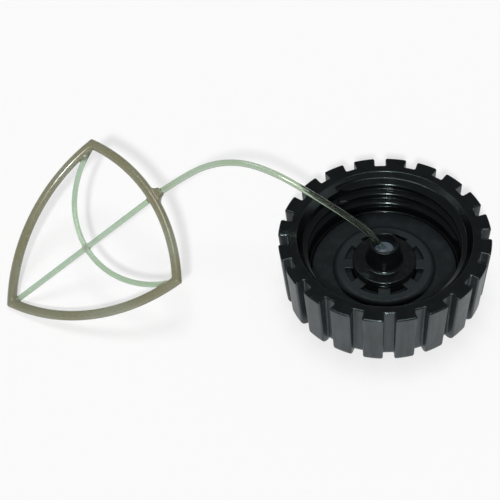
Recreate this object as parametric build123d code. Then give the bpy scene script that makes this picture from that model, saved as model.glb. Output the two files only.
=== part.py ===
from build123d import *
from math import asin, cos, degrees, radians, sin, sqrt, tan
import os

# Fuel filler cap, lying on its closed face with the mouth up, and its captive retainer.
# Millimetres. The origin is the centre of the closed face and +Z looks out of the mouth.

# Cap shell
cap_height = 17.4
grip_radius = 25.45
grip_draft = 4.8
grip_heel_round = 2.2
grip_count = 20
grip_phase = -101.9
grip_gap = 2.7
grip_edge_round = 0.45
rim_round = 0.35

# Drafted core behind the grip ribs
grip_depth = 2.4
core_draft = 3.2
core_heel_round = 2.0
core_root_round = 0.35

# Mouth, thread and gasket pocket
rim_width = 2.05
lead_in_step = 1.4
lead_in_depth = 2.15
thread_depth = 1.3
thread_crest_width = 0.9
thread_crest_round = 0.36
thread_flank_angle = 30.0
thread_pitch = 3.45
thread_first_height = 7.3
thread_turns = 2.3
thread_start_angle = 12.0
thread_ramp_angle = 60.0
thread_embed = 0.4
pocket_step = 1.9
pocket_depth = 2.05
pocket_floor = 4.0

# Closed face
face_groove_inner_radius = 10.5
face_groove_margin = 0.9
face_groove_depth = 0.8
vent_hole_radius = 0.6
vent_hole_offset = 3.2

# Central post and the chamber inside it
post_radius = 7.65
post_top = 8.2
chamber_radius = 5.4
chamber_floor = 2.4

# Gasket and star lock ring
gasket_thickness = 2.0
gasket_clearance = 0.2
gasket_edge_round = 0.15
star_radius = 12.4
star_rise = 1.45
star_edge_round = 1.3
star_thickness = 0.45
star_tooth_count = 8
star_phase = -95.5
star_tooth_width = 2.8
star_tooth_length = 2.0
star_tip_clearance = 0.02

# Vent hub
hub_flange_thickness = 1.0
hub_flange_round = 0.25
hub_spigot_length = 2.6
hub_spigot_clearance = 0.05
hub_cone_radius = 4.3
hub_cone_root_round = 0.8
hub_rim_radius = 3.5
hub_rim_height = 15.15
hub_rim_round = 0.24
hub_mouth_radius = 2.95
hub_well_radius = 2.6
hub_well_roof = 1.0
hub_vent_radius = 0.5

# Ball end of the retainer and its socket in the hub
ball_radius = 2.4
ball_clearance = 0.05
ball_height = 12.2
ball_flat_height = 0.9
ball_flat_round = 0.15
socket_throat_height = 0.97

# Duckbill valve and felt filter in the chamber
chamber_part_clearance = 0.2
valve_flange_thickness = 1.0
valve_neck_radius = 2.2
valve_wall = 0.6
valve_bill_height = 2.7
valve_bill_width = 4.0
valve_bill_thickness = 1.2
valve_slit_thickness = 0.1

# Retainer: line, three-sided ring, gusset and strands
line_radius = 0.8
ring_side = 43.7
ring_bow_radius = 45.3
ring_side_overrun = 4.0
ring_tube_radius = 1.2
strand_radius = 0.7
strand_drop = 0.45
strand_crossing = 14.9
gusset_drop = 0.25
gusset_thickness = 1.8
gusset_width = 6.2
gusset_tip_width = 2.0
gusset_length = 1.4
gusset_scoop = 0.6
gusset_edge_round = 0.35

# Where the ring lies: its far corner stands on the table and its plane is tilted
ring_corner_x = -91.1
ring_corner_y = 0.45
ring_heading = 21.4
ring_rise = 26.6
ring_roll = 11.8
ring_rest_gap = 0.02

# The line's route from the ball towards the ring, where it ends
line_route = [
    (0.0, 0.0, ball_height),
    (-2.8, 1.2, 17.4),
    (-8.9, 4.1, 21.5),
    (-16.5, 7.8, 25.5),
    (-24.5, 11.8, 29.1),
    (-32.5, 15.4, 30.3),
    (-40.4, 17.1, 28.5),
    (-47.7, 16.8, 24.3),
]
line_bend_share = 0.45

# Heights and radii that follow from the sizes above
core_radius = grip_radius - grip_depth
mouth_radius = core_radius - rim_width
bore_radius = mouth_radius - lead_in_step
pocket_radius = bore_radius - pocket_step
face_groove_outer_radius = bore_radius - face_groove_margin
ledge_height = pocket_floor + pocket_depth
lead_in_height = cap_height - lead_in_depth
gasket_top = pocket_floor + gasket_thickness
star_top = gasket_top + star_rise
hub_flange_top = post_top + hub_flange_thickness
spigot_end = post_top - hub_spigot_length
valve_seat = spigot_end - valve_flange_thickness
chamber_part_radius = chamber_radius - chamber_part_clearance
socket_radius = ball_radius + ball_clearance
throat_radius = sqrt(socket_radius**2 - socket_throat_height**2)
throat_height = ball_height + socket_throat_height
well_top = ball_height - socket_radius - hub_well_roof

# The ring's three corners stand on a circle, and each side is an arc about a centre inside it
corner_reach = ring_side / sqrt(3)
side_half_angle = degrees(asin(ring_side / 2 / ring_bow_radius))
side_centre = corner_reach / 2 - ring_bow_radius * cos(radians(side_half_angle))
ring_reach = corner_reach + side_centre + ring_bow_radius
mitre_angle = side_half_angle + 30


def turned(*points):
    """A solid of revolution about Z from a closed outline of (radius, height) points."""
    return revolve(make_face(Plane.XZ * Polyline(*points, close=True)), Axis.Z)


def bar(radius, low, high):
    """An upright cylinder about Z between two heights."""
    align = (Align.CENTER, Align.CENTER, Align.MIN)
    return Pos(0, 0, low) * Cylinder(radius, high - low, align=align)


def rounds_at(solid, radius, height):
    """The round edge of a turned solid that has this radius and height."""
    rounds = solid.edges().filter_by(GeomType.CIRCLE)
    return [e for e in rounds if abs(e.radius - radius) < 0.01 and abs(e.center().Z - height) < 0.01]


def drafted_disc(radius, draft, heel):
    """A disc as high as the cap, narrower towards its rounded heel."""
    foot = radius - cap_height * tan(radians(draft))
    disc = turned((0, 0), (foot, 0), (radius, cap_height), (0, cap_height))
    return fillet(rounds_at(disc, foot, 0), heel)


def grip_gap_space():
    """The space between two grip ribs, with round inner corners."""
    align = (Align.MIN, Align.CENTER, Align.MIN)
    length = grip_depth + 2 * core_heel_round
    space = Pos(core_radius - length, 0, 0) * Box(2 * length, grip_gap, cap_height, align=align)
    space -= drafted_disc(core_radius, core_draft, core_heel_round)
    inner = [e for e in space.edges() if e.length > grip_gap and e.center().X < core_radius]
    upright = [e for e in inner if abs(abs(e.center().Y) - grip_gap / 2) < 0.01]
    return fillet(upright, core_root_round)


def grip_blank():
    """The cap's outside: a drafted disc cut into grip ribs, all edges rounded."""
    blank = drafted_disc(grip_radius, grip_draft, grip_heel_round)
    space = grip_gap_space()
    for index in range(grip_count):
        blank -= Rot(0, 0, grip_phase + (index + 0.5) * 360 / grip_count) * space
    rib_edges = [e for e in blank.edges() if e.length > cap_height / 2]
    rib_edges = [e for e in rib_edges if Vector(e.center().X, e.center().Y).length > core_radius]
    blank = fillet(rib_edges, grip_edge_round)
    return fillet(blank.faces().sort_by(Axis.Z)[-1].edges(), rim_round)


def thread_ridge():
    """Right-handed thread ridge, a round-crested trapezoid swept up the bore, ramped at its ends."""
    flank = tan(radians(thread_flank_angle))
    half_crest = thread_crest_width / 2
    half_back = half_crest + (thread_depth + thread_embed) * flank
    rise = thread_pitch * thread_turns
    path = Helix(thread_pitch, rise, bore_radius, center=(0, 0, thread_first_height))
    profile = make_face(Polyline(
        (-thread_depth, -half_crest), (thread_embed, -half_back),
        (thread_embed, half_back), (-thread_depth, half_crest), close=True,
    ))
    profile = fillet([v for v in profile.vertices() if v.X < 0], thread_crest_round)
    ridge = sweep(Plane(path @ 0, x_dir=(1, 0, 0), z_dir=path % 0) * profile, path=path, is_frenet=True)
    for turn, height, way in ((0, 0, -1), (360 * thread_turns, rise, 1)):
        align = (Align.MAX, Align.MIN if way > 0 else Align.MAX, Align.CENTER)
        ramp = Rot(0, 0, way * thread_ramp_angle) * Box(
            3 * thread_pitch, 2 * thread_pitch, 2 * thread_pitch, align=align
        )
        ridge -= Rot(0, 0, turn) * Pos(bore_radius, 0, thread_first_height + height) * ramp
    return Rot(0, 0, thread_start_angle) * ridge


def cap_body():
    """The moulded cap: ribbed shell, thread, gasket pocket and central post."""
    shell = grip_blank()
    shell -= turned(
        (post_radius, pocket_floor), (pocket_radius, pocket_floor), (pocket_radius, ledge_height),
        (bore_radius, ledge_height), (bore_radius, lead_in_height), (mouth_radius, cap_height),
        (0, cap_height), (0, post_top), (post_radius, post_top),
    )
    shell -= bar(chamber_radius, chamber_floor, cap_height)
    groove = bar(face_groove_outer_radius, 0, face_groove_depth)
    shell -= groove - bar(face_groove_inner_radius, 0, face_groove_depth)
    shell -= Pos(vent_hole_offset, 0, 0) * bar(vent_hole_radius, 0, pocket_floor)
    return shell + thread_ridge()


def cap_gasket():
    """Flat rubber ring that lies on the pocket's floor."""
    outer = bar(pocket_radius - gasket_clearance, pocket_floor, gasket_top)
    blank = outer - bar(post_radius + gasket_clearance, pocket_floor, gasket_top)
    return fillet(blank.edges().filter_by(GeomType.CIRCLE), gasket_edge_round)


def star_lock_ring():
    """Stamped push-on ring: rolled edge on the gasket, teeth on the post."""
    tip_radius = post_radius + star_tip_clearance
    centre = (star_radius - star_edge_round, star_top - star_edge_round)
    outer = CenterArc(centre, star_edge_round, 0, 90)
    inner = CenterArc(centre, star_edge_round - star_thickness, 0, 90)
    lip = Polyline(inner @ 0, (star_radius - star_thickness, gasket_top), (star_radius, gasket_top), outer @ 0)
    web = Polyline(outer @ 1, (tip_radius, star_top), (tip_radius, star_top - star_thickness), inner @ 1)
    dish = revolve(make_face(Plane.XZ * (Curve() + [outer, inner, lip, web])), Axis.Z)
    gaps = Circle(tip_radius + star_tooth_length)
    tooth = Pos(post_radius, 0) * Rectangle(4 * star_tooth_length, star_tooth_width)
    for index in range(star_tooth_count):
        gaps -= Rot(0, 0, star_phase + index * 360 / star_tooth_count) * tooth
    return dish - Pos(0, 0, gasket_top) * extrude(gaps, 2 * star_rise)


def vent_hub():
    """Glossy insert: spigot in the post, flange on the post, cone with the ball's socket."""
    spigot_radius = chamber_radius - hub_spigot_clearance
    hub = turned(
        (0, spigot_end), (spigot_radius, spigot_end), (spigot_radius, post_top), (post_radius, post_top),
        (post_radius, hub_flange_top), (hub_cone_radius, hub_flange_top),
        (hub_rim_radius, hub_rim_height), (0, hub_rim_height),
    )
    hub = fillet(rounds_at(hub, hub_cone_radius, hub_flange_top), hub_cone_root_round)
    hub = fillet(rounds_at(hub, post_radius, hub_flange_top), hub_flange_round)
    hub -= Pos(0, 0, ball_height) * Sphere(socket_radius)
    hub -= turned(
        (0, throat_height), (throat_radius, throat_height),
        (hub_mouth_radius, hub_rim_height), (0, hub_rim_height),
    )
    hub -= bar(hub_well_radius, spigot_end, well_top)
    hub -= bar(hub_vent_radius, well_top, ball_height)
    rim = rounds_at(hub, hub_rim_radius, hub_rim_height) + rounds_at(hub, hub_mouth_radius, hub_rim_height)
    return fillet(rim, hub_rim_round)


def vent_valve():
    """Rubber duckbill: a flange under the spigot and a bill that stands up in the well."""
    bill_top = spigot_end + valve_bill_height
    bill = loft([
        Plane.XY.offset(spigot_end) * Circle(valve_neck_radius),
        Plane.XY.offset(bill_top) * SlotOverall(valve_bill_width, valve_bill_thickness),
    ])
    passage = loft([
        Plane.XY.offset(valve_seat) * Circle(valve_neck_radius - valve_wall),
        Plane.XY.offset(bill_top) * SlotOverall(valve_bill_width - 2 * valve_wall, valve_slit_thickness),
    ])
    return bar(chamber_part_radius, valve_seat, spigot_end) + bill - passage


def vent_filter():
    """Felt disc that fills the chamber under the valve."""
    return bar(chamber_part_radius, chamber_floor, valve_seat)


def ring_place():
    """The ring's own frame: origin at its far corner, X along its axis towards the line."""
    mitre_reach = ring_tube_radius / sin(radians(mitre_angle)) * sin(radians(ring_rise))
    tube_reach = ring_tube_radius * cos(radians(ring_rise)) * cos(radians(ring_roll))
    rest_height = sqrt(mitre_reach**2 + tube_reach**2) + ring_rest_gap
    tilt = Rot(0, 0, ring_heading) * Rot(0, -ring_rise, 0) * Rot(ring_roll, 0, 0)
    return Pos(ring_corner_x, ring_corner_y, rest_height) * tilt


def ring_frame():
    """Three bowed sides of round section, mitred at the corners."""
    spread = side_half_angle + ring_side_overrun
    section = Rot(0, 0, -spread) * Pos(ring_bow_radius, 0, 0) * Rot(90, 0, 0) * Circle(ring_tube_radius)
    side = Pos(side_centre, 0, 0) * revolve(section, Axis.Z, 2 * spread)
    edge_x = ring_side * cos(radians(60))
    edge_y = ring_side * sin(radians(60))
    sector = make_face(Polyline((0, 0), (edge_x, -edge_y), (ring_side, 0), (edge_x, edge_y), close=True))
    side &= Pos(0, 0, -ring_side / 2) * extrude(sector, ring_side)
    frame = side + Rot(0, 0, 120) * side + Rot(0, 0, 240) * side
    return Pos(corner_reach, 0, 0) * frame


def ring_strands():
    """A straight strand along the ring's axis and a curved one from corner to corner."""
    straight = Rot(0, 90, 0) * bar(strand_radius, 0, ring_reach)
    chord_x = corner_reach * 1.5
    half_chord = ring_side / 2
    bow = ThreePointArc(
        (chord_x, half_chord, 0), (chord_x - strand_crossing, 0, 0), (chord_x, -half_chord, 0)
    )
    curved = sweep(Plane(bow @ 0, z_dir=bow % 0) * Circle(strand_radius), path=bow)
    return Pos(0, 0, -strand_drop) * (straight + curved)


def ring_gusset():
    """Flat web with scooped flanks where the line leaves the ring."""
    root_y = gusset_width / 2
    root_x = ring_reach + ring_tube_radius / 2
    tip_x = ring_reach + ring_tube_radius + gusset_length
    tip_y = gusset_tip_width / 2
    scoop_x = (root_x + tip_x - gusset_scoop) / 2
    scoop_y = (root_y + tip_y) / 2 - gusset_scoop
    upper = ThreePointArc((root_x, root_y), (scoop_x, scoop_y), (tip_x, tip_y))
    lower = ThreePointArc((tip_x, -tip_y), (scoop_x, -scoop_y), (root_x, -root_y))
    back = Polyline((root_x, -root_y), (ring_reach, -root_y), (ring_reach, root_y), (root_x, root_y))
    outline = Curve() + [upper, Line(upper @ 1, lower @ 0), lower, back]
    web = Pos(0, 0, -gusset_thickness / 2) * extrude(make_face(outline), gusset_thickness)
    web = fillet(web.faces().sort_by(Axis.X)[-1].edges(), gusset_edge_round)
    return Pos(0, 0, -gusset_drop) * web


def line_path(end):
    """Straight runs joined by arcs as large as the runs allow."""
    points = [Vector(*p) for p in line_route] + [end]
    runs = [b - a for a, b in zip(points, points[1:])]
    radii = []
    for before, after in zip(runs, runs[1:]):
        half_turn = radians(before.get_angle(after)) / 2
        radii.append(line_bend_share * min(before.length, after.length) / tan(half_turn))
    path = FilletPolyline(*points, radius=radii)
    print("line radii", [round(r, 1) for r in radii], "length", round(path.length, 1))
    return path


def tether_retainer():
    """The retainer, one moulding from the ball end to the ring."""
    place = ring_place()
    ring = place * (ring_frame() + ring_strands() + ring_gusset())
    path = line_path((place * Pos(ring_reach, 0, -gusset_drop)).position)
    line = sweep(Plane(path @ 0, z_dir=path % 0) * Circle(line_radius), path=path)
    flat = ball_height + ball_flat_height
    ball = Pos(0, 0, ball_height) * Sphere(ball_radius) - bar(ball_radius, flat, flat + ball_radius)
    flat_radius = sqrt(ball_radius**2 - ball_flat_height**2)
    ball = fillet(rounds_at(ball, flat_radius, flat), ball_flat_round)
    return ball + line + ring


os.makedirs("parts", exist_ok=True)
for make in (cap_body, cap_gasket, star_lock_ring, vent_hub, vent_valve, vent_filter, tether_retainer):
    export_step(make(), f"parts/{make.__name__}.step")
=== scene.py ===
import bpy
import bmesh
from math import asin, cos, hypot, pi, radians, sin, sqrt
from mathutils import Matrix, Vector


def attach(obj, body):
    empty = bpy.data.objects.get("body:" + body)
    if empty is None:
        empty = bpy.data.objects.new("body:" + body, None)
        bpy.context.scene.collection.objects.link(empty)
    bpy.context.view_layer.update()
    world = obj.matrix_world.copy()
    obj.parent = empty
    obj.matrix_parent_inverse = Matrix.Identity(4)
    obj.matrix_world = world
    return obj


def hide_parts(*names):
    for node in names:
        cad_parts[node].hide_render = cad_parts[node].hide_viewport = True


# Looks of the fuel filler cap and its retainer. Metres, in the frame of the solids:
# origin at the centre of the closed face, +Z out of the mouth.

MM = 0.001

# Camera, as the photograph sees the cap
camera_place = Vector((-32.162, -281.796, 354.724)) * MM
camera_elevation = 50.25
camera_roll = -3.8175
camera_lens = 133.16
camera_sensor = 36.0
camera_clip = 0.01

# Light: a broad lamp overhead, a small one in front, and a dim room with pale walls
ceiling_strength = 0.125
wall_strength = 0.8
wall_height = 0.12
ceiling_height = 0.3
top_from = Vector((0.0, 0.2, 1.0))
top_angle = 26.0
top_strength = 1.0
front_from = Vector((-0.08, -0.7, 0.7))
front_angle = 4.0
front_strength = 2.3
floor_size = 6.0
floor_glow = 0.6

# Black plastic and rubber mirror the light a little cooler than it is
cool = (0.82, 1.0, 1.04, 1.0)

# The cap's plastic is polished inside and matt outside, seen from its axis
inside_radius = 21.4 * MM
outside_radius = 22.6 * MM

# Rounding of edges: the ledge over the gasket has a wider one than the rest of the cap
ledge_radius = 18.0 * MM
ledge_round = 0.9 * MM
cap_edge_round = 0.35 * MM
gasket_edge_round = 0.3 * MM
star_edge_round = 0.2 * MM
hub_edge_round = 0.1 * MM

# The retainer's plastic: olive where it is thick, pale where it is thin, milky in the ball
olive_dark = (0.27, 0.26, 0.163, 1.0)
olive_light = (0.307, 0.321, 0.237, 1.0)
pale_dark = (0.44, 0.58, 0.42, 1.0)
pale_light = (0.47, 0.61, 0.47, 1.0)
milk = (0.38, 0.5, 0.6, 1.0)
milk_centre = (0.0, 0.0, 10.7 * MM)
milk_radius = 3.4 * MM
milk_fade = 0.5 * MM
milk_haze = 0.13
milk_roughness = 0.2
thick_clearness = 0.6
thin_clearness = 0.99
thick_roughness = 0.22
thin_roughness = 0.16

# Retainer: ball and line. The ball's height is in millimetres, like the line's route below
ball_height = 12.2
ball_radius = 2.4 * MM
ball_flat_height = 0.9 * MM
line_radius = 0.8 * MM

# The flat's rounded edge: its size, where the ball's arc stops before it in radians, and the
# point halfway round it, as shares of its size
ball_flat_round = 0.15 * MM
ball_round_turn = 0.06
ball_round_inwards = 0.35
ball_round_downwards = 0.12

# Retainer: ring with its two strands
ring_side = 43.7 * MM
ring_bow_radius = 45.3 * MM
ring_tube_radius = 1.2 * MM
strand_radius = 0.7 * MM
strand_drop = 0.45 * MM
strand_crossing = 14.9 * MM

# Retainer: gusset between ring and line
gusset_drop = 0.25 * MM
gusset_thickness = 1.8 * MM
gusset_width = 6.2 * MM
gusset_tip_width = 2.0 * MM
gusset_length = 1.4 * MM
gusset_scoop = 0.6 * MM

# Where the ring's far corner stands, and how its plane is turned and tilted
ring_corner = Vector((-91.1, 0.45, 0.0)) * MM
ring_heading = 21.4
ring_rise = 26.6
ring_roll = 11.8
ring_rest_gap = 0.02 * MM

# Fineness of the retainer's mesh
tube_sides = 24
side_steps = 60
strand_steps = 40
bow_steps = 80
gusset_steps = 10
line_steps = 16
line_bevel_steps = 6
ball_steps = 32
ball_sides = 48
moulding_voxel = 0.18 * MM
moulding_smoothing = 9

# The ring's corners stand on a circle, and each side is an arc about a centre inside it
side_turns = (0.0, 2 * pi / 3, 4 * pi / 3)
corner_reach = ring_side / sqrt(3)
ring_height = corner_reach * 1.5
side_half_angle = asin(ring_side / 2 / ring_bow_radius)
side_centre = corner_reach / 2 - ring_bow_radius * cos(side_half_angle)
ring_reach = corner_reach + side_centre + ring_bow_radius
mitre_angle = side_half_angle + radians(30)

# Clearness of the moulding: 0 in the ring, 1 in the strands, a little less in the thicker line
line_clearness = (ring_tube_radius - line_radius) / (ring_tube_radius - strand_radius)
line_fade = 1.2 * MM
strand_fade = 0.6 * MM
crossing_radius = 0.4 * MM
crossing_fade = 0.8 * MM
crossing_cloud = 0.4

# Route of the line in millimetres, from the ball to the ring
line_route = [
    (0.0, 0.0, ball_height),
    (-2.8, 1.2, 17.4),
    (-8.9, 4.1, 21.5),
    (-16.5, 7.8, 25.5),
    (-24.5, 11.8, 29.1),
    (-32.5, 15.4, 30.3),
    (-40.4, 17.1, 28.5),
    (-47.7, 16.8, 24.3),
]


class Shader:
    """A node material built up around one Principled shader, in the object's own coordinates."""

    def __init__(self, name, settings=None):
        self.material = bpy.data.materials.new(name)
        self.material.use_nodes = True
        self.tree = self.material.node_tree
        self.surface = self.tree.nodes["Principled BSDF"]
        self.place = self.node("ShaderNodeTexCoord").outputs["Object"]
        for socket, value in (settings or {}).items():
            self.surface.inputs[socket].default_value = value

    def node(self, kind, **settings):
        made = self.tree.nodes.new(kind)
        for name, value in settings.items():
            setattr(made, name, value)
        return made

    def link(self, source, target):
        self.tree.links.new(source, target)

    def feed(self, value, socket):
        """A socket is linked, and a plain number or colour is set."""
        if isinstance(value, bpy.types.NodeSocket):
            self.link(value, socket)
        else:
            socket.default_value = value

    def grain(self, size, detail=2.0, stretch=(1.0, 1.0, 1.0)):
        """Noise from 0 to 1 whose features are about this size."""
        mapping = self.node("ShaderNodeMapping")
        mapping.inputs["Scale"].default_value = stretch
        self.link(self.place, mapping.inputs["Vector"])
        noise = self.node("ShaderNodeTexNoise")
        noise.inputs["Scale"].default_value = 1 / size
        noise.inputs["Detail"].default_value = detail
        self.link(mapping.outputs["Vector"], noise.inputs["Vector"])
        return noise.outputs["Fac"]

    def number(self, operation, first, second=0.0):
        """One step of arithmetic on numbers or sockets."""
        made = self.node("ShaderNodeMath", operation=operation)
        self.feed(first, made.inputs[0])
        self.feed(second, made.inputs[1])
        return made.outputs[0]

    def plus(self, first, second):
        return self.number("ADD", first, second)

    def minus(self, first, second):
        return self.number("SUBTRACT", first, second)

    def times(self, first, second):
        return self.number("MULTIPLY", first, second)

    def ramp(self, value, low, high, start=0.0, end=1.0):
        """The value's stretch from low to high, smoothly turned into start to end."""
        made = self.node("ShaderNodeMapRange", interpolation_type="SMOOTHSTEP")
        self.feed(value, made.inputs["Value"])
        for name, limit in (("From Min", low), ("From Max", high), ("To Min", start), ("To Max", end)):
            self.feed(limit, made.inputs[name])
        return made.outputs["Result"]

    def mix(self, share, first, second):
        """Two colours mixed by a share from 0 to 1."""
        made = self.node("ShaderNodeMix", data_type="RGBA")
        self.feed(share, made.inputs["Factor"])
        self.feed(first, made.inputs["A"])
        self.feed(second, made.inputs["B"])
        return made.outputs["Result"]

    def radius(self):
        """Distance from the cap's axis."""
        flat = self.node("ShaderNodeVectorMath", operation="MULTIPLY")
        flat.inputs[1].default_value = (1.0, 1.0, 0.0)
        self.link(self.place, flat.inputs[0])
        length = self.node("ShaderNodeVectorMath", operation="LENGTH")
        self.link(flat.outputs["Vector"], length.inputs[0])
        return length.outputs["Value"]

    def distance(self, centre):
        """Distance from a point."""
        apart = self.node("ShaderNodeVectorMath", operation="DISTANCE")
        apart.inputs[1].default_value = centre
        self.link(self.place, apart.inputs[0])
        return apart.outputs["Value"]

    def upright(self):
        """1 on walls and 0 on level faces."""
        normal = self.node("ShaderNodeNewGeometry").outputs["Normal"]
        parts = self.node("ShaderNodeSeparateXYZ")
        self.link(normal, parts.inputs["Vector"])
        return self.ramp(self.number("ABSOLUTE", parts.outputs["Z"]), 0.7, 0.3)

    def rounded(self, width):
        """The surface's normal, with its sharp edges rounded by this much."""
        bevel = self.node("ShaderNodeBevel", samples=6)
        self.feed(width, bevel.inputs["Radius"])
        return bevel.outputs["Normal"]

    def edges(self, rounded):
        """1 on rounded edges and 0 on plain faces."""
        normal = self.node("ShaderNodeNewGeometry").outputs["Normal"]
        dot = self.node("ShaderNodeVectorMath", operation="DOT_PRODUCT")
        self.link(rounded, dot.inputs[0])
        self.link(normal, dot.inputs[1])
        return self.ramp(dot.outputs["Value"], 0.99, 0.9)

    def bumps(self, *layers, normal=None):
        """Bumps of (depth, height) laid over each other, over the plain or the rounded surface."""
        for depth, height in layers:
            bump = self.node("ShaderNodeBump")
            bump.inputs["Distance"].default_value = depth
            self.link(height, bump.inputs["Height"])
            if normal:
                self.link(normal, bump.inputs["Normal"])
            normal = bump.outputs["Normal"]
        self.link(normal, self.surface.inputs["Normal"])

    def colour(self, value):
        self.feed(value, self.surface.inputs["Base Color"])

    def rough(self, value):
        self.feed(value, self.surface.inputs["Roughness"])


def grey(value, warm=0.0):
    return (value * (1 + warm), value, value * (1 - warm), 1.0)


def cap_plastic():
    """Black moulding: polished inside and on top, worn matt on the grip's sides, whose colour is
    painted paler and streaked: partly their worn grain, partly painted sheen standing in for the floor
    they mirror.
    """
    look = Shader("cap_plastic", {"Specular Tint": cool})
    radius = look.radius()
    outside = look.ramp(radius, inside_radius, outside_radius)
    wear_and_sheen = look.times(outside, look.upright())
    ledge_end = ledge_radius + cap_edge_round
    edge = look.rounded(look.ramp(radius, ledge_radius, ledge_end, ledge_round, cap_edge_round))
    smudge = look.grain(3 * MM, 3.0)
    speckle = look.grain(0.16 * MM, 2.0)
    streaks_and_sheen = look.grain(1.3 * MM, 2.0, stretch=(1.0, 1.0, 0.1))

    polished = look.mix(smudge, grey(0.002, -0.1), grey(0.004, -0.1))
    # Upright outer walls get a paler colour with vertical streaks: partly worn grain, partly painted
    # sheen for the white floor they mirror
    shade = look.ramp(look.plus(look.times(speckle, 0.4), streaks_and_sheen), 0.45, 0.95)
    grain_and_sheen = look.mix(shade, grey(0.014, -0.12), grey(0.036, -0.12))
    rubbed = look.times(look.times(look.edges(edge), outside), 0.2)
    look.colour(look.mix(rubbed, look.mix(wear_and_sheen, polished, grain_and_sheen), grey(0.05, -0.08)))

    worn = look.ramp(smudge, 0.35, 0.7, start=0.16, end=0.21)
    look.rough(look.plus(worn, look.times(wear_and_sheen, 0.2)))
    waves = look.grain(2.2 * MM, 1.0)
    look.bumps((0.006 * MM, look.times(speckle, wear_and_sheen)), (0.003 * MM, waves), normal=edge)
    return look.material


def gasket_rubber():
    """Matt sheet rubber with a fine grain and a faint bloom."""
    look = Shader("gasket_rubber", {"Specular IOR Level": 0.25, "Specular Tint": cool})
    edge = look.rounded(gasket_edge_round)
    bloom = look.ramp(look.grain(2.5 * MM, 4.0), 0.4, 0.75)
    look.colour(look.mix(bloom, grey(0.005, -0.16), grey(0.011, -0.16)))
    face = look.ramp(look.grain(0.6 * MM, 3.0), 0.3, 0.7, start=0.55, end=0.7)
    look.rough(look.minus(face, look.times(look.edges(edge), 0.35)))
    look.bumps((0.025 * MM, look.grain(0.14 * MM, 2.0)), normal=edge)
    return look.material


def star_steel():
    """Phosphated spring steel, stamped, with its edges painted lighter as a painted highlight."""
    look = Shader("star_steel", {"Specular IOR Level": 0.3, "Specular Tint": cool})
    edge = look.rounded(star_edge_round)
    edges = look.edges(edge)
    crystals = look.grain(0.1 * MM, 3.0)
    coat = look.mix(crystals, grey(0.007, -0.18), grey(0.014, -0.18))
    # Edges painted lighter than the coat: a painted highlight along them
    look.colour(look.mix(look.times(edges, 0.4), coat, grey(0.08, -0.08)))
    face = look.ramp(look.grain(0.8 * MM, 3.0), 0.3, 0.7, start=0.45, end=0.6)
    look.rough(look.minus(face, look.times(edges, 0.25)))
    look.bumps((0.006 * MM, crystals), normal=edge)
    return look.material


def hub_plastic():
    """Glossy black insert with faint smears."""
    look = Shader("hub_plastic", {"Specular IOR Level": 0.36, "Specular Tint": cool})
    smear = look.grain(1.5 * MM, 3.0, stretch=(1.0, 1.0, 0.3))
    look.colour(look.mix(smear, grey(0.003, -0.1), grey(0.006, -0.1)))
    look.rough(look.ramp(smear, 0.35, 0.7, start=0.16, end=0.26))
    look.bumps((0.008 * MM, look.grain(1.8 * MM, 1.0)), normal=look.rounded(hub_edge_round))
    return look.material


def valve_rubber():
    """Soft black rubber with a dusty bloom."""
    look = Shader("valve_rubber")
    look.colour(look.mix(look.grain(0.8 * MM, 3.0), grey(0.02), grey(0.04)))
    look.rough(look.ramp(look.grain(0.3 * MM, 2.0), 0.3, 0.7, start=0.45, end=0.6))
    look.bumps((0.01 * MM, look.grain(0.1 * MM, 2.0)))
    return look.material


def filter_felt():
    """Pressed felt, its fibres lying flat."""
    look = Shader("filter_felt", {"Roughness": 0.95})
    fibres = look.grain(0.12 * MM, 4.0, stretch=(1.0, 0.25, 3.0))
    look.colour(look.mix(fibres, grey(0.5, 0.06), grey(0.75, 0.05)))
    look.bumps((0.08 * MM, fibres))
    return look.material


def retainer_plastic():
    """Natural moulding: clouded olive where it is thick, clear and pale green where it is thin."""
    look = Shader("retainer_plastic", {"IOR": 1.5})
    thin = look.node("ShaderNodeAttribute", attribute_name="thin").outputs["Fac"]
    milky = look.ramp(look.distance(milk_centre), milk_radius + milk_fade, milk_radius)
    cloud = look.ramp(look.grain(14 * MM, 1.0), 0.35, 0.65)
    olive = look.mix(cloud, olive_dark, olive_light)
    pale = look.mix(cloud, pale_dark, pale_light)
    look.colour(look.mix(milky, look.mix(thin, olive, pale), milk))
    clear = look.ramp(thin, 0.0, line_clearness, thick_clearness, thin_clearness)
    clear = look.minus(clear, look.times(milky, milk_haze))
    look.feed(clear, look.surface.inputs["Transmission Weight"])
    smooth = look.ramp(thin, 0.0, line_clearness, thick_roughness, thin_roughness)
    look.rough(look.plus(smooth, look.times(milky, milk_roughness)))
    look.bumps((0.006 * MM, look.grain(3 * MM, 0.0)))
    return look.material


def floor_paper():
    """Plain white paper, seen paler than it lights the object."""
    look = Shader("floor_paper", {"Roughness": 0.9, "Specular IOR Level": 0.1})
    fibre = look.grain(0.4 * MM, 3.0)
    look.colour(look.mix(fibre, grey(0.9), grey(0.93)))
    path = look.node("ShaderNodeLightPath").outputs
    seen = look.number("MAXIMUM", path["Is Camera Ray"], path["Is Glossy Ray"])
    seen = look.number("MAXIMUM", seen, path["Is Transmission Ray"])
    glow = look.node("ShaderNodeEmission")
    mixer = look.node("ShaderNodeMixShader")
    look.link(look.times(seen, floor_glow), mixer.inputs[0])
    look.link(look.surface.outputs[0], mixer.inputs[1])
    look.link(glow.outputs[0], mixer.inputs[2])
    look.link(mixer.outputs[0], look.tree.nodes["Material Output"].inputs["Surface"])
    return look.material


def add_object(name, data):
    """A new object in the scene."""
    made = bpy.data.objects.new(name, data)
    bpy.context.scene.collection.objects.link(made)
    return made


def shaped_mesh(maker):
    """The mesh of an object with its modifiers applied. The object itself goes."""
    mesh = bpy.data.meshes.new_from_object(maker.evaluated_get(bpy.context.evaluated_depsgraph_get()))
    bpy.data.objects.remove(maker)
    return mesh


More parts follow.
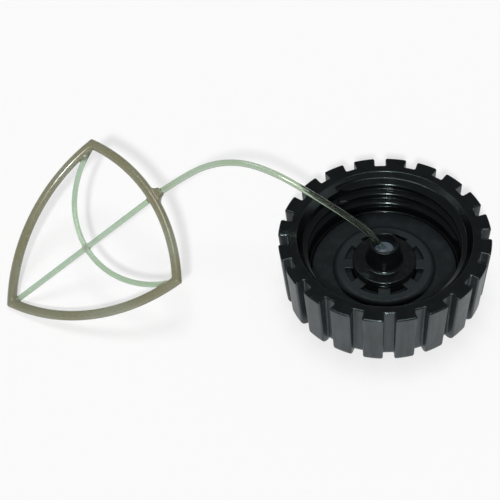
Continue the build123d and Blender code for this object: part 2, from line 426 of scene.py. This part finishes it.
def mesh_object(name, mesh, material):
    """A smooth-shaded object with its material."""
    piece = add_object(name, mesh)
    mesh.materials.clear()
    mesh.materials.append(material)
    for face in mesh.polygons:
        face.use_smooth = True
    return piece


def ring_place():
    """Places the ring: its far corner stands on the table and its plane is tilted."""
    mitre_reach = ring_tube_radius / sin(mitre_angle) * sin(radians(ring_rise))
    tube_reach = ring_tube_radius * cos(radians(ring_rise)) * cos(radians(ring_roll))
    rest_height = sqrt(mitre_reach**2 + tube_reach**2) + ring_rest_gap
    tilt = (
        Matrix.Rotation(radians(ring_heading), 4, "Z")
        @ Matrix.Rotation(radians(-ring_rise), 4, "Y")
        @ Matrix.Rotation(radians(ring_roll), 4, "X")
    )
    return Matrix.Translation(ring_corner + Vector((0, 0, rest_height))) @ tilt


def side_centres():
    """Centres of the near, the back and the front side's arcs in the ring's own plane."""
    return [(corner_reach + side_centre * cos(turn), side_centre * sin(turn)) for turn in side_turns]


def arc_points(centre, radius, start, end, count, drop=0.0):
    """Points on an arc in the ring's plane or a little under it, both ends included."""
    steps = [start + (end - start) * i / count for i in range(count + 1)]
    return [Vector((centre[0] + radius * cos(a), centre[1] + radius * sin(a), -drop)) for a in steps]


def add_bands(bm, loops, closed=False):
    """Rows of four-sided faces between neighbouring loops of vertices."""
    following = loops[1:] + loops[:1] if closed else loops[1:]
    for first, second in zip(loops, following):
        for side in range(len(first)):
            other = (side + 1) % len(first)
            bm.faces.new((first[side], first[other], second[other], second[side]))


def add_tube(bm, points, radius, closed=False):
    """A round tube along points of the ring's plane, mitred at its corners."""
    loops = []
    count = len(points)
    for index, point in enumerate(points):
        before = points[index - 1] if closed or index else point
        after = points[(index + 1) % count] if closed or index < count - 1 else point
        arriving = (point - before).normalized() if before != point else (after - point).normalized()
        leaving = (after - point).normalized() if after != point else arriving
        along = (arriving + leaving).normalized()
        across = Vector((-along.y, along.x, 0.0)) / along.dot(arriving)
        loop = []
        for side in range(tube_sides):
            angle = 2 * pi * side / tube_sides
            offset = across * cos(angle) * radius + Vector((0, 0, sin(angle) * radius))
            loop.append(bm.verts.new(point + offset))
        loops.append(loop)
    add_bands(bm, loops, closed)
    if not closed:
        bm.faces.new(list(reversed(loops[0])))
        bm.faces.new(loops[-1])


def add_gusset(bm):
    """The flat web with scooped flanks between the ring and the line."""
    root_x = ring_reach + ring_tube_radius / 2
    tip_x = ring_reach + ring_tube_radius + gusset_length
    outline = [(ring_reach, gusset_width / 2)]
    for index in range(gusset_steps + 1):
        share = index / gusset_steps
        straight = gusset_width / 2 + (gusset_tip_width - gusset_width) / 2 * share
        outline.append((root_x + (tip_x - root_x) * share, straight - gusset_scoop * sin(pi * share)))
    profile = outline + [(x, -y) for x, y in reversed(outline)]
    bottom = [bm.verts.new((x, y, -gusset_drop - gusset_thickness / 2)) for x, y in profile]
    top = [bm.verts.new((x, y, -gusset_drop + gusset_thickness / 2)) for x, y in profile]
    bm.faces.new(list(reversed(bottom)))
    bm.faces.new(top)
    add_bands(bm, [bottom, top])


def add_ring(bm):
    """Ring, strands and gusset in the ring's own frame."""
    outline = []
    for turn, centre in zip(side_turns, side_centres()):
        start = turn - side_half_angle
        end = turn + side_half_angle
        outline += arc_points(centre, ring_bow_radius, start, end, side_steps)[:-1]
    add_tube(bm, outline, ring_tube_radius, closed=True)
    steps = range(strand_steps + 1)
    straight = [Vector((ring_reach * i / strand_steps, 0.0, -strand_drop)) for i in steps]
    add_tube(bm, straight, strand_radius)
    half_chord = ring_side / 2
    bow_radius = (half_chord**2 + strand_crossing**2) / (2 * strand_crossing)
    bow_centre = (ring_height - strand_crossing + bow_radius, 0.0)
    bow_angle = asin(half_chord / bow_radius)
    bow = arc_points(bow_centre, bow_radius, pi - bow_angle, pi + bow_angle, bow_steps, strand_drop)
    add_tube(bm, bow, strand_radius)
    add_gusset(bm)


def add_line(bm):
    """The line, one smooth curve from the ball to the ring."""
    curve = bpy.data.curves.new("line", "CURVE")
    curve.dimensions = "3D"
    curve.bevel_depth = line_radius
    curve.bevel_resolution = line_bevel_steps
    curve.resolution_u = line_steps
    curve.use_fill_caps = True
    end = ring_place() @ Vector((ring_reach, 0.0, -gusset_drop))
    points = [Vector(p) * MM for p in line_route] + [end]
    spline = curve.splines.new("NURBS")
    spline.points.add(len(points) - 1)
    for point, place in zip(spline.points, points):
        point.co = (*place, 1.0)
    spline.use_endpoint_u = True
    spline.order_u = 3
    bm.from_mesh(shaped_mesh(add_object("line", curve)))


def add_ball(bm):
    """Ball end with its flat top, turned about the cap's axis."""
    middle = ball_height * MM
    flat_radius = sqrt(ball_radius**2 - ball_flat_height**2)
    start = -pi / 2
    end = asin(ball_flat_height / ball_radius) - ball_round_turn
    arc = [start + (end - start) * i / ball_steps for i in range(1, ball_steps + 1)]
    profile = [(ball_radius * cos(a), ball_radius * sin(a)) for a in arc]
    round_radius = flat_radius - ball_flat_round * ball_round_inwards
    round_height = ball_flat_height - ball_flat_round * ball_round_downwards
    profile += [(round_radius, round_height), (flat_radius - ball_flat_round, ball_flat_height)]
    angles = [2 * pi * side / ball_sides for side in range(ball_sides)]
    loops = [
        [bm.verts.new((radius * cos(a), radius * sin(a), height + middle)) for a in angles]
        for radius, height in profile
    ]
    add_bands(bm, loops)
    bottom = bm.verts.new((0.0, 0.0, middle - ball_radius))
    top = bm.verts.new((0.0, 0.0, middle + ball_flat_height))
    for side in range(ball_sides):
        other = (side + 1) % ball_sides
        bm.faces.new((bottom, loops[0][other], loops[0][side]))
        bm.faces.new((loops[-1][side], loops[-1][other], top))


def held(value):
    """A value held between 0 and 1."""
    return min(max(value, 0.0), 1.0)


def thinness(point):
    """0 in the ring and the gusset and up to 1 in the strands and the line, in the ring's frame."""
    inside = min(ring_bow_radius - hypot(point.x - x, point.y - y) for x, y in side_centres())
    crossing_gap = hypot(point.x - ring_height + strand_crossing, point.y)
    beyond = point.x - ring_reach - ring_tube_radius - gusset_length / 2
    in_strand = held((inside - ring_tube_radius) / strand_fade)
    off_crossing = held((crossing_gap - crossing_radius) / crossing_fade)
    in_line = held(beyond / line_fade)
    strand_clearness = in_strand * (1 - crossing_cloud + crossing_cloud * off_crossing)
    return max(strand_clearness, line_clearness * in_line)


def retainer(material):
    """The whole retainer grown into one smooth moulding."""
    bm = bmesh.new()
    add_ring(bm)
    bm.transform(ring_place())
    add_line(bm)
    add_ball(bm)
    bmesh.ops.recalc_face_normals(bm, faces=bm.faces)
    parts = bpy.data.meshes.new("retainer_parts")
    bm.to_mesh(parts)
    bm.free()
    maker = add_object("retainer_parts", parts)
    remesh = maker.modifiers.new("grown", "REMESH")
    remesh.mode = "VOXEL"
    remesh.voxel_size = moulding_voxel
    smooth = maker.modifiers.new("smooth", "SMOOTH")
    smooth.iterations = moulding_smoothing
    grown = shaped_mesh(maker)
    to_ring = ring_place().inverted()
    thin = grown.attributes.new("thin", "FLOAT", "POINT")
    thin.data.foreach_set("value", [thinness(to_ring @ v.co) for v in grown.vertices])
    return mesh_object("retainer", grown, material)


def dress(node, material):
    """A solid keeps its shape and gets its material."""
    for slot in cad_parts[node].material_slots:
        slot.material = material


def add_camera():
    """The camera stands and looks as it did for the photograph."""
    data = bpy.data.cameras.new("camera")
    data.sensor_width = camera_sensor
    data.lens = camera_lens
    data.clip_start = camera_clip
    camera = add_object("camera", data)
    look_down = Matrix.Rotation(radians(90 - camera_elevation), 4, "X")
    roll = Matrix.Rotation(radians(camera_roll), 4, "Z")
    camera.matrix_world = Matrix.Translation(camera_place) @ look_down @ roll
    bpy.context.scene.camera = camera


def add_lamp(name, towards, angle, strength):
    """A distant lamp that shines on the cap from this direction."""
    data = bpy.data.lights.new(name, "SUN")
    data.angle = radians(angle)
    data.energy = strength
    lamp = add_object(name, data)
    lamp.rotation_euler = (-towards).to_track_quat("-Z", "Y").to_euler()


def add_world():
    """A dim room, pale towards the foot of its walls."""
    world = bpy.data.worlds.new("studio")
    world.use_nodes = True
    tree = world.node_tree
    direction = tree.nodes.new("ShaderNodeTexCoord")
    parts = tree.nodes.new("ShaderNodeSeparateXYZ")
    level = tree.nodes.new("ShaderNodeMapRange")
    level.interpolation_type = "SMOOTHSTEP"
    level.inputs["From Min"].default_value = wall_height
    level.inputs["From Max"].default_value = ceiling_height
    level.inputs["To Min"].default_value = wall_strength
    level.inputs["To Max"].default_value = ceiling_strength
    background = tree.nodes["Background"]
    background.inputs["Color"].default_value = (1.0, 1.0, 1.0, 1.0)
    tree.links.new(direction.outputs["Generated"], parts.inputs["Vector"])
    tree.links.new(parts.outputs["Z"], level.inputs["Value"])
    tree.links.new(level.outputs["Result"], background.inputs["Strength"])
    bpy.context.scene.world = world


def add_floor():
    """A sheet of white paper under and behind everything."""
    half = floor_size / 2
    mesh = bpy.data.meshes.new("floor")
    corners = [(-half, -half, 0.0), (half, -half, 0.0), (half, half, 0.0), (-half, half, 0.0)]
    mesh.from_pydata(corners, [], [(0, 1, 2, 3)])
    mesh_object("floor", mesh, floor_paper())


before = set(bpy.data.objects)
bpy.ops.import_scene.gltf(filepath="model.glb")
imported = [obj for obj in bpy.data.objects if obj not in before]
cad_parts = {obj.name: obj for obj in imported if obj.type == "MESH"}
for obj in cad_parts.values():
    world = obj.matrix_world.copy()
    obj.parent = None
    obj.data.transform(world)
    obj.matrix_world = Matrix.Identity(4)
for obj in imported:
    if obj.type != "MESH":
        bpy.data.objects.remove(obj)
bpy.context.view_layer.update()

add_camera()
add_world()
add_lamp("top", top_from, top_angle, top_strength)
add_lamp("front", front_from, front_angle, front_strength)
add_floor()

dress("cap_body", cap_plastic())
dress("cap_gasket", gasket_rubber())
dress("star_lock_ring", star_steel())
dress("vent_hub", hub_plastic())
dress("vent_valve", valve_rubber())
dress("vent_filter", filter_felt())

moulding = retainer(retainer_plastic())
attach(moulding, "tether")
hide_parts("tether_retainer")

bpy.context.scene.view_settings.view_transform = "Standard"
